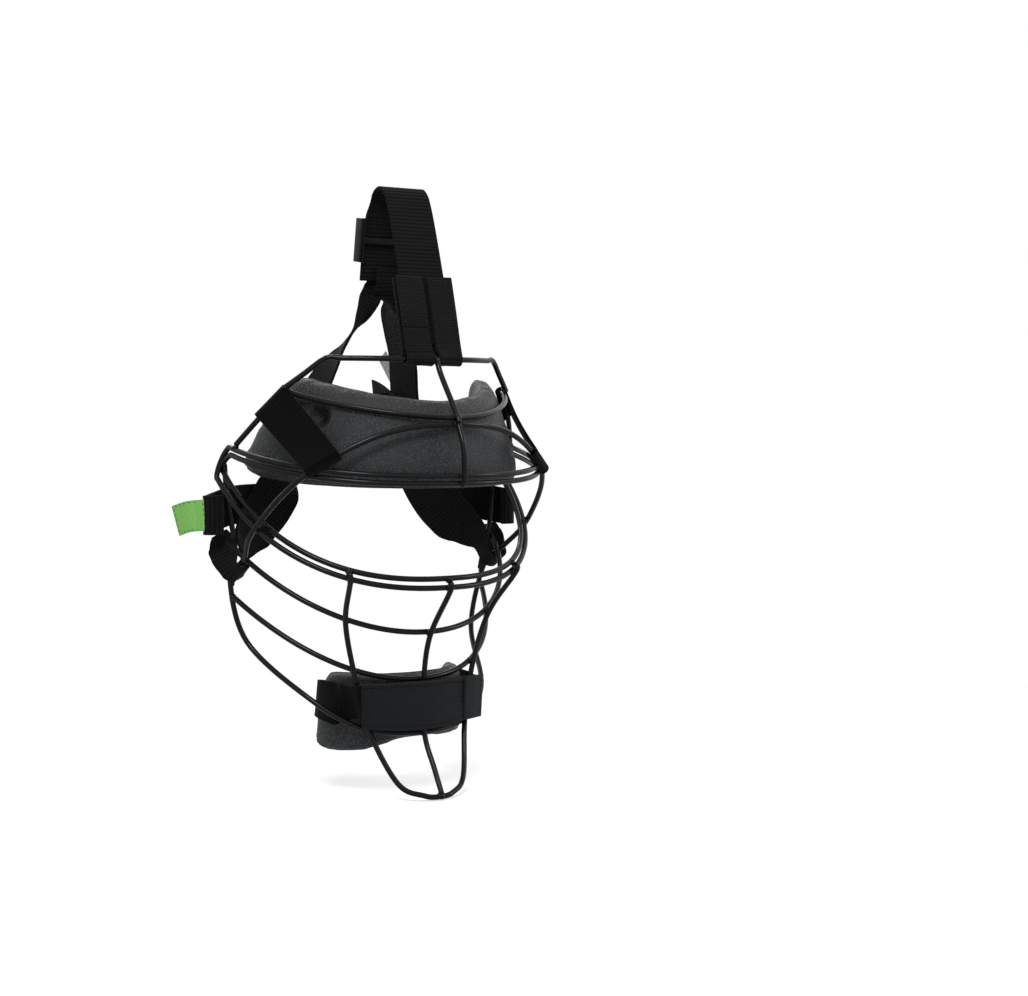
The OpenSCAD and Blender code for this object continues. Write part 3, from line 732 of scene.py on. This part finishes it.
def wire_spot(wire, side, height, reach):
    """The point of a wire at a height on one side, beyond reach, and its upward direction there."""
    path = paths[wire][0]
    best = min((p for p in path if p.x * side > reach), key=lambda p: abs(p.z - height))
    i = path.index(best)
    n = len(path)
    for a, b in ((path[i - 1], best), (best, path[(i + 1) % n])):
        if min(a.z, b.z) <= height <= max(a.z, b.z):
            t = (height - a.z) / (b.z - a.z)
            along = (b - a).normalized()
            return a + (b - a) * t, along if along.z > 0 else -along
    along = (path[(i + 1) % n] - path[i - 1]).normalized()
    return best, along if along.z > 0 else -along


# Where the pad bands go round the ring's strut and the outer frame: two heights and two half widths
PAD_BAND = (36.5 * MM, 1.2 * MM, 12.5 * MM, 11.5 * MM)
BAND_BOW = 1.6 * MM


def pad_band(side):
    """Rows of the elastic band that ties the pad to the ring's strut and to the outer frame."""
    ring_z, frame_z, ring_half, frame_half = PAD_BAND
    ring, up_ring = wire_spot("forehead_ring", side, ring_z, 82 * MM)
    bar, up_bar = wire_spot("outer_frame", side, frame_z, 40 * MM)
    if up_bar.dot(up_ring) < 0:
        up_bar = -up_bar
    wrap = WIRE_R + 0.3 * MM + WEB_T / 2
    turns = range(-110, 91, 20)
    rows = []
    for spot, other, up, half, around in ((ring, bar, up_ring, ring_half, turns),
                                          (bar, ring, up_bar, frame_half, reversed(turns))):
        toward = other - spot
        toward = (toward - up * toward.dot(up)).normalized()
        out = up.cross(toward)
        if out.dot(spot - Vector((0, 0.02, spot.z))) < 0:
            out = -out
        for turn in around:
            a = math.radians(turn)
            way = out * math.sin(a) - toward * math.cos(a)
            rows.append((spot + way * wrap, up * half, way))
    first, last = rows[len(turns) - 1:len(turns) + 1]
    steps = 7
    bowed = []
    for k in range(1, steps):
        t = k / steps
        bow = first[2] * (-BAND_BOW * math.sin(math.pi * t))
        bowed.append((first[0] * (1 - t) + last[0] * t + bow, first[1] * (1 - t) + last[1] * t,
                      (first[2] * (1 - t) + last[2] * t).normalized()))
    return rows[:len(turns)] + bowed + rows[len(turns):]


for side, sign in (("left", 1), ("right", -1)):
    straps["pad_sleeve_" + side] = Strap("pad_sleeve_" + side, WEB_T, pad_band(sign))

# The chin band runs on from its solid's ends, round the ends of the pad: place, half height and facing
CHIN_TURN = ((48.8, -38.0, -145.8, 12.9, 1, -0.2), (50.2, -32.0, -145.4, 12.5, 1, -0.1),
             (50.7, -26.0, -145.0, 12.1, 1, 0), (50.4, -20.5, -144.8, 11.6, 1, 0.1),
             (48.8, -15.6, -144.7, 11.1, 1, 0.6), (45.8, -12.8, -144.7, 10.7, 0.3, 1),
             (42.8, -12.4, -144.8, 10.4, -0.2, 1), (40.0, -14.6, -144.9, 10.2, -0.7, 0.7),
             (37.9, -19.0, -145.0, 10.1, -1, 0.2), (36.2, -25.0, -145.0, 10.0, -1, 0.1))
chin_rows = straps["chin_sleeve"].rows
for sign in (1, -1):
    turned = [(Vector((sign * x, y, z)) * MM, Vector((0, 0, -half)) * MM
               + Vector((sign * a, b, 0)).normalized() * 1.0 * MM, Vector((sign * a, b, 0)).normalized())
              for x, y, z, half, a, b in CHIN_TURN]
    first = chin_rows[0] if chin_rows[0][0].x * sign > 0 else chin_rows[-1]
    flip_x, flip_y = (1 if first[1].z < 0 else -1), (1 if first[2].x * sign > 0 else -1)
    turned = [(c, x * flip_x, y * flip_y) for c, x, y in turned]
    kept = [row for row in chin_rows if row[0].x * sign < 47.5 * MM]
    chin_rows = list(reversed(turned)) + kept if first is chin_rows[0] else kept + turned
straps["chin_sleeve"] = Strap("chin_sleeve", WEB_T, chin_rows)

# Length of a strap's faces where its ribs have a form, the ribs' depth as a share of its thickness, and how
# much wider the front tabs are than their solids
FINE_STEP = 0.4 * MM
ELASTIC_STEP = 0.45 * MM
WEB_RIB = 0.2
ELASTIC_RIB = 0.05
TAB_SPAN = 1.07


def sleeve_rib(c):
    """The chin band is ribbed only beside the panel."""
    return 0.28 * min(1.0, max(0.0, (abs(c.x) - 33 * MM) / (3 * MM)))


def crown_span(u):
    """The top strap draws in a little above the slider, so that the slider's window clears it."""
    return 1 - 0.085 * max(0.0, 1 - ((u - 43 * MM) / (10 * MM)) ** 2)


verts, faces, uvs = web_mesh(crown, FINE_STEP, WEB_RIB, WEB_PITCH, crown_span)
top_web = finished("top_strap_web", verts, faces, WEBBING, None, ["top_strap"], uvs)
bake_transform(top_web)
for side in ("left", "right"):
    web("front_tab_" + side, straps["strap_tab_" + side], TAB_WEB, span=TAB_SPAN)
    web("side_strap_web_" + side, straps["side_strap_" + side], WEBBING, FINE_STEP, WEB_RIB,
        pitch=WEB_PITCH)
    web("pad_elastic_" + side, straps["pad_sleeve_" + side], ELASTIC, ELASTIC_STEP, ELASTIC_RIB)
    web("strap_end_web_" + side, straps["strap_end_" + side], WEBBING)
    web("pull_tag_ribbon_" + side, straps["pull_tag_" + side], GREEN)
web("rear_band_elastic", straps["rear_band"], ELASTIC, ELASTIC_STEP, ELASTIC_RIB)
web("hook_tab_web", straps["hook_tab"], WEBBING)
web("chin_elastic", straps["chin_sleeve"], ELASTIC, ELASTIC_STEP, sleeve_rib)
web("sleeve_flap_web", straps["sleeve_flap"], PANEL)

# Plain panel over the front of the chin band, a little proud of it, with turned hems. In millimetres: its
# ends, its front, middle height and half height, how it bends back and how far its lower edge droops
PANEL_X = (-42.5, 27)
PANEL_Y, PANEL_Z, PANEL_HALF = -66.9, -146, 13.2
PANEL_BEND, PANEL_DROOP = 0.0049, 3.2
PANEL_ROWS = 24


def panel_row(x):
    """Middle, half height and facing of the panel at x mm: a shallow arc before the band."""
    droop = PANEL_DROOP / 2 * max(0.0, 1 - ((x + 6) / 38) ** 2)
    facing = Vector((2 * PANEL_BEND * x, -1, 0)).normalized()
    middle = Vector((x, PANEL_Y + PANEL_BEND * x * x, PANEL_Z - droop)) * MM
    return middle, Vector((0, 0, -PANEL_HALF - droop)) * MM, facing


panel_step = (PANEL_X[0] - PANEL_X[1]) / PANEL_ROWS
panel_rows = [panel_row(PANEL_X[1] + panel_step * i) for i in range(PANEL_ROWS + 1)]
chin_panel = Strap("chin_sleeve", 1.1 * MM, panel_rows)
web("chin_panel", chin_panel, PANEL, replaces=False)
for name, v in (("upper", 0.93), ("lower", -0.93)):
    hem_rows = [(c + x * v + n * 0.5 * MM, x.normalized() * 0.9 * MM, n) for c, x, n in panel_rows]
    hem = Strap("chin_sleeve", 0.9 * MM, hem_rows)
    web("chin_panel_hem_" + name, hem, PANEL, replaces=False)
web("care_label_ribbon", straps["care_label"], SATIN)

# Pads: the same guides as the solids, filled and puffed, with a seam round the edge. In millimetres: how
# far the brow wires, the forehead ring and the chin wires reach, how wide they are and how high they lie
BROW_REACH, BROW_HALF, BROW_Z = 103.0, 102.0, -6.5
RING_REACH, RING_HALF, RING_END_Z = 96.0, 81.0, 46.0
CHIN_REACH, CHIN_Z = 59.0, -165.0
# Thickness and height of the forehead pad, thickness and half width of the chin pad
PAD_T, PAD_H, CHIN_T, CHIN_HALF = 19.0, 54.0, 16.0, 46.0
# From the wires' middle to the middle of each pad, and the guide hoops of the pads' lower and upper edges:
# half width, front y, end y, front z, end z, fullness and lift
SEAT = 2.0 + PAD_T / 2
pad_low = [BROW_HALF - 15, -BROW_REACH + SEAT + 1.2, 12, BROW_Z - 8.5, -8, 2.2, 1.2]
pad_high = [pad_low[0] + (RING_HALF - 12.4 - pad_low[0]) * 1.25,
            pad_low[1] + (-RING_REACH + SEAT + 3.3 - pad_low[1]) * 1.25, -22, BROW_Z - 8.5 + PAD_H,
            RING_END_Z + 11, 1.6, 1.1]
CHIN_SEAT = 1.5 + CHIN_T / 2
chin_low = [CHIN_HALF, -CHIN_REACH + CHIN_SEAT, -8, CHIN_Z - 5, CHIN_Z - 12, 2.4, 1]
chin_high = [CHIN_HALF - 4, -CHIN_REACH + CHIN_SEAT, -19, CHIN_Z + 37, CHIN_Z + 42, 2.4, 1]


def hoop(h, turn):
    """The point at a turn in radians of a guide hoop, in metres."""
    s = abs(math.sin(turn)) ** (2 / h[5]) * (1 if turn > 0 else -1)
    u = 1 - max(math.cos(turn), 0.0) ** (2 / h[5])
    return Vector((h[0] * s, h[1] + (h[2] - h[1]) * u, h[3] + (h[4] - h[3]) * u ** h[6])) * MM


def cushion_point(low, high, thick, blunt, f, q, shrink=0.0):
    """A point on a cushion: f from end to end, q round it in radians."""
    turn = f * math.pi / 2
    a, b = hoop(low, turn), hoop(high, turn)
    e = (1 - min(abs(f), 0.985) ** blunt) ** (1 / blunt)
    along = (hoop(low, turn + 0.01) - hoop(low, turn - 0.01)).normalized()
    up = (b - a) / 2
    inward = up.cross(along).normalized()
    x = abs(math.cos(q)) ** 0.72 * (1 if math.cos(q) > 0 else -1)
    y = abs(math.sin(q)) ** 0.62 * (1 if math.sin(q) > 0 else -1)
    up = up * (1 - shrink / up.length)
    return (a + b) / 2 + inward * (x * e * (thick * MM / 2 - shrink)) + up * (y * (0.55 + 0.45 * e))


# The filling: size of the cloth's cells, frames that it runs, the most that it moves, how close it comes to
# the solid's skin, how wide its seam is, how much smaller it starts, and its piping
CELL = 3.6 * MM
CLOTH_FRAMES = 20
PUFF = 3.0 * MM
SKIN_GAP = 0.1 * MM
SEAM_REACH = 4.5 * MM
SHRINK = 0.9 * MM
PIPING_R = 0.8 * MM


def puffed_pad(name, node, low, high, thick, blunt, steps, around, hollow=False, sag=None):
    """A filled pad: its guide shape, swollen by cloth under pressure and drawn in along its seam."""
    solid = merged(node)
    skin = BVHTree.FromBMesh(solid)
    rings = [[cushion_point(low, high, thick, blunt, 2 * i / steps - 1, 2 * math.pi * j / around, SHRINK)
              for j in range(around)] for i in range(steps + 1)]
    verts = [p for ring in rings for p in ring]
    faces = [[i * around + j, i * around + (j + 1) % around, (i + 1) * around + (j + 1) % around,
              (i + 1) * around + j] for i in range(steps) for j in range(around)]
    faces += [[j for j in reversed(range(around))], [steps * around + j for j in range(around)]]
    mesh = bpy.data.meshes.new(name)
    mesh.from_pydata([tuple(v) for v in verts], [], faces)
    piece = add(name, mesh)
    shape = piece.modifiers.new("grid", "REMESH")
    shape.mode = "VOXEL"
    shape.voxel_size = CELL
    bake(piece)
    rest = [v.co.copy() for v in piece.data.vertices]
    edge = piece.vertex_groups.new(name="seam")
    line = [cushion_point(low, high, thick, blunt, 2 * i / 60 - 1, q, SHRINK)
            for q in (math.pi / 2, 1.5 * math.pi) for i in range(61)]
    for v in piece.data.vertices:
        if min((v.co - p).length for p in line) < SEAM_REACH:
            edge.add([v.index], 1.0, "REPLACE")
    cloth = piece.modifiers.new("fill", "CLOTH")
    cloth.settings.use_pressure = True
    cloth.settings.uniform_pressure_force = 4
    cloth.settings.effector_weights.gravity = 0
    cloth.settings.vertex_group_mass = "seam"
    cloth.settings.quality = 5
    for step in range(1, CLOTH_FRAMES + 1):
        bpy.context.scene.frame_set(step)
        bpy.context.view_layer.update()
    bake(piece)
    bpy.context.scene.frame_set(1)
    for v, start in zip(piece.data.vertices, rest):
        move = v.co - start
        if move.length > PUFF:
            v.co = start + move * (PUFF / move.length)
    finer = piece.modifiers.new("finer", "SUBSURF")
    finer.levels = finer.render_levels = 2
    bake(piece)
    # The seam runs along the upper edge, round one end, back along the lower edge and round the other
    top = [cushion_point(low, high, thick, blunt, 2 * i / 120 - 1, math.pi / 2) for i in range(1, 120)]
    base = [cushion_point(low, high, thick, blunt, 1 - 2 * i / 120, 1.5 * math.pi) for i in range(1, 120)]
    seam_line = []
    for run, end, following in ((top, 1, base), (base, -1, top)):
        out = (cushion_point(low, high, thick, blunt, end, 0)
               + cushion_point(low, high, thick, blunt, end, math.pi)) / 2
        seam_line += run
        seam_line += [between([run[-2], run[-1], out, following[0], following[1]], k, j / 6, False)
                      for k in (1, 2) for j in range(1 if k == 1 else 0, 6)]
    for v in piece.data.vertices:
        spot, normal, _, _ = skin.find_nearest(v.co)
        over = (v.co - spot).dot(normal)
        if over > -SKIN_GAP:
            v.co -= normal * (over + SKIN_GAP)
        if sag:
            top_z, reach, drop = sag
            lower = min(max((top_z - v.co.z) / reach, 0), 1)
            right_half = min(max((-v.co.x - 4 * MM) / (26 * MM), 0), 1)
            v.co.z -= drop * (lower * right_half) ** 1.5
        away = (v.co - HOLLOW).length
        if hollow and away < HOLLOW_R:
            v.co -= normal * HOLLOW_DEPTH * (0.5 + 0.5 * math.cos(math.pi * away / HOLLOW_R)) ** 0.6
    piece.data.materials.clear()
    piece.data.materials.append(LEATHER)
    shade_smooth(piece.data)
    settled(piece, "cage", [node])
    mesh = piece.data
    skin = BVHTree.FromPolygons([v.co for v in mesh.vertices], [list(f.vertices) for f in mesh.polygons])
    laid = []
    for p in seam_line:
        spot, normal, _, _ = skin.find_nearest(p)
        if not laid or (spot - laid[-1]).length > 2.2 * MM:
            laid.append(spot - normal * 0.25 * MM)
    if (laid[0] - laid[-1]).length < 2.2 * MM:
        laid.pop()
    tube(name + "_piping", laid, True, PIPING_R, 8, LEATHER, slot="pad_cover", fine=2)
    solid.free()


puffed_pad("forehead_pad_cover", "forehead_pad", pad_low, pad_high, PAD_T, 6, 110, 48, hollow=True)
puffed_pad("chin_pad_cover", "chin_pad", chin_low, chin_high, CHIN_T, 3.6, 60, 40,
           sag=(-152 * MM, 18 * MM, 5 * MM))


# Stitches
def outward(strap, u):
    """1 or -1, the side of a strap that looks away from the head."""
    c, _, n, _ = strap.row(u)
    return 1 if n.dot(c - Vector((0, 0.02, c.z - 10 * MM))) > 0 else -1


def stitched(name, strap, lines, thread=THREAD, rides=True):
    """Runs of stitches on the outer face of a strap, each from (mm, across) to (mm, across).

    A length below 0 counts back from the strap's far end.
    """
    spots = []
    for (u0, v0), (u1, v1) in lines:
        ends = [(u * MM if u >= 0 else strap.length + u * MM, v) for u, v in ((u0, v0), (u1, v1))]
        out = outward(strap, (ends[0][0] + ends[1][0]) / 2) * strap.thick * 0.5
        spots += seam(strap, ends, out)
    return beads(name, spots, (1.1 * MM, 0.32 * MM, 0.26 * MM), 5, thread,
                 BODY_OF[strap.node] if rides else None)


def across(*lengths, v=0.85):
    """A run of stitches straight across a strap at each length."""
    return [((u, -v), (u, v)) for u in lengths]


def border(u, v):
    """Runs along both edges of a strap, from u after one end to u before the other."""
    return [((u, -v), (-u, -v)), ((u, v), (-u, v))]


for side in ("left", "right"):
    stitched("tab_stitches_" + side, straps["strap_tab_" + side],
             [((2.5, v), (-12, v)) for v in (-0.88, 0.88)] + across(2.8, 5.4, v=0.88))
    stitched("strap_root_stitches_" + side, straps["side_strap_" + side], across(3, 6, v=0.8))
    stitched("strap_end_stitches_" + side, straps["strap_end_" + side], across(3, -3, v=0.82))
    stitched("tag_stitches_" + side, straps["pull_tag_" + side],
             across(1.6, -1.6, v=0.86) + border(2, 0.88), LEAF_THREAD)
stitched("rear_band_stitches", straps["rear_band"], across(3, 6, -3, -6))
stitched("hook_tab_stitches", straps["hook_tab"], across(2.5, -2.5) + border(2.5, 0.86))
stitched("panel_stitches", chin_panel, border(2, 0.8) + across(2, -2, v=0.8))
stitched("flap_stitches", straps["sleeve_flap"], across(-3))
crown_stitches = stitched("top_strap_stitches", crown, across(3, 6, -3, -6, v=0.9), rides=False)
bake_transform(crown_stitches)

# Slider buckle: the solid's frame with moulded, rounded edges
bars = merged("slider_buckle")
bmesh.ops.dissolve_limit(bars, angle_limit=0.02, verts=bars.verts, edges=bars.edges)
moulding = bpy.data.meshes.new("slider_frame")
bars.to_mesh(moulding)
bars.free()
slider_frame = add("slider_frame", moulding)
slider_frame.data.materials.append(SLIDER)
rounded = slider_frame.modifiers.new("rounded", "BEVEL")
rounded.width = 0.6 * MM
rounded.segments = 3
rounded.limit_method = "ANGLE"
bake(slider_frame)
shade_smooth(slider_frame.data)
settled(slider_frame, "buckle", ["slider_buckle"])


# Floor, light and camera
def floor_material():
    """Pale matt studio floor that keeps the shadow near the object and is white to the camera far out."""
    made, tree, shader, place, _ = new_material(
        "studio_floor", **{"Roughness": 0.9, "Specular IOR Level": 0.1})
    tone = noise(tree, place, 0.4, 2.0)
    tree.links.new(mix(tree, tone, "#f1f1ef", "#f7f7f6"), shader.inputs["Base Color"])
    seen = put(tree, "ShaderNodeLightPath").outputs["Is Camera Ray"]
    shader.inputs["Emission Color"].default_value = (1, 1, 1, 1)
    tree.links.new(maths(tree, "MULTIPLY", seen, 0.45), shader.inputs["Emission Strength"])
    far = put(tree, "ShaderNodeVectorMath", {0: place}, operation="LENGTH").outputs["Value"]
    white = put(tree, "ShaderNodeEmission", {"Color": (1, 1, 1, 1), "Strength": 1.0})
    share = maths(tree, "MULTIPLY", seen, spread(tree, far, 0.35, 0.75))
    mixed = put(tree, "ShaderNodeMixShader", {0: share, 1: shader.outputs[0], 2: white.outputs[0]})
    out = next(n for n in tree.nodes if n.type == "OUTPUT_MATERIAL")
    tree.links.new(mixed.outputs[0], out.inputs["Surface"])
    return made


plane = bpy.data.meshes.new("studio_floor")
FLOOR_HALF = 8.0
under = solid_low.z - 0.4 * MM
corners = [(x * FLOOR_HALF, y * FLOOR_HALF, under) for x, y in ((-1, -1), (1, -1), (1, 1), (-1, 1))]
plane.from_pydata(corners, [], [[0, 1, 2, 3]])
plane.materials.append(floor_material())
floor = add("studio_floor", plane)

# The room is white to the camera and in reflections, and gives a softer light
ROOM_LIGHT = 0.34
world = bpy.data.worlds.new("studio")
bpy.context.scene.world = world
world.use_nodes = True
sky = world.node_tree
sky.nodes.clear()
rays = put(sky, "ShaderNodeLightPath")
seen = maths(sky, "MAXIMUM", rays.outputs["Is Camera Ray"], rays.outputs["Is Glossy Ray"])
seen = maths(sky, "MAXIMUM", seen, rays.outputs["Is Transmission Ray"])
strength = spread(sky, seen, 0.0, 1.0, ROOM_LIGHT, 1.0)
back = put(sky, "ShaderNodeBackground", {"Color": (1, 1, 1, 1), "Strength": strength})
put(sky, "ShaderNodeOutputWorld", {"Surface": back.outputs[0]})


def lamp(name, place, aim, size, power):
    """A soft box of width and height in metres and power in watts, turned toward aim."""
    data = bpy.data.lights.new(name, "AREA")
    data.shape = "RECTANGLE"
    data.size, data.size_y = size
    data.energy = power
    made = add(name, data)
    made.location = place
    made.rotation_euler = (Vector(aim) - Vector(place)).to_track_quat("-Z", "Y").to_euler()


lamp("key", (-1.0, -1.3, 1.5), (0, -0.03, 0), (0.7, 0.7), 26)
lamp("fill", (1.5, -1.1, 0.7), (0, -0.03, 0), (0.4, 0.8), 7)
lamp("rim", (0.2, 1.3, 1.3), (0, 0, 0), (0.8, 0.4), 8)

# The photograph's own view: focal length in millimetres, place, and right, up and behind directions
FOCAL = 70.49
VIEW_PLACE = (-0.6746, -1.0897, 0.0297)
VIEW_AXES = ((0.81064, -0.58554, 0), (0.02416, 0.03345, 0.99914), (-0.58504, -0.80995, 0.04127))
lens = bpy.data.cameras.new("photograph")
lens.sensor_fit = "HORIZONTAL"
lens.sensor_width = 36
lens.lens = FOCAL
lens.clip_start = 0.01
photograph = add("photograph", lens)
photograph.matrix_world = Matrix.Translation(VIEW_PLACE) @ Matrix(VIEW_AXES).transposed().to_4x4()
bpy.context.scene.camera = photograph
bpy.context.scene.view_settings.view_transform = "Standard"
